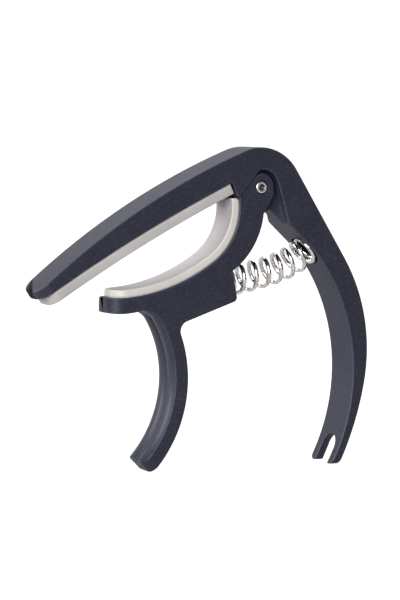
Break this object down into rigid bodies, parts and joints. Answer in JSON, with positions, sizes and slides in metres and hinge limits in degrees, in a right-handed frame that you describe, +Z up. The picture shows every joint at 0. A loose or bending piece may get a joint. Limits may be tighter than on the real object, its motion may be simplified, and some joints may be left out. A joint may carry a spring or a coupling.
{
  "type": "guitar capo",
  "caption": "Spring-loaded trigger capo: an upper arm with a padded bar and a forked rear handle, hinged to a padded cradle jaw with a curved front handle.",
  "frame": {"origin": "middle of the capo's box on the surface that it stands on with its two handle tips", "axes": "+X from the bar's free tip towards the rear handle, +Y across the capo's width, from the screw's head side to the nut's side, +Z up"},
  "size_m": [0.0922, 0.011, 0.081],
  "materials": {
    "powder_coat": "fine-textured blue-black powder coat over die-cast aluminium alloy",
    "bar_silicone": "matt warm grey silicone",
    "cradle_silicone": "matt pale cream silicone",
    "plated_wire": "bright nickel-chrome plated spring wire",
    "plated_screw": "bright plated steel",
    "bronze": "plain sintered bronze",
    "nylon": "natural nylon"
  },
  "bodies": {
    "arm": {"upper_arm": "powder_coat", "bar_pad": "bar_silicone", "spring": "plated_wire", "pivot_bush": "bronze", "front_washer": "nylon", "rear_washer": "nylon"},
    "jaw": {"lower_jaw": "powder_coat", "cradle_pad": "cradle_silicone", "pivot_screw": "plated_screw", "pivot_nut": "plated_screw"}
  },
  "joints": [
    {"name": "jaw_hinge", "type": "hinge", "parent": "arm", "child": "jaw", "pos_m": [0.01388, 0, 0.071], "axis": [0, -1, 0], "range_deg": [0, 26], "stiffness_Nm_per_rad": 3.5, "springref_deg": -8.02, "deforming": ["spring"]}
  ]
}
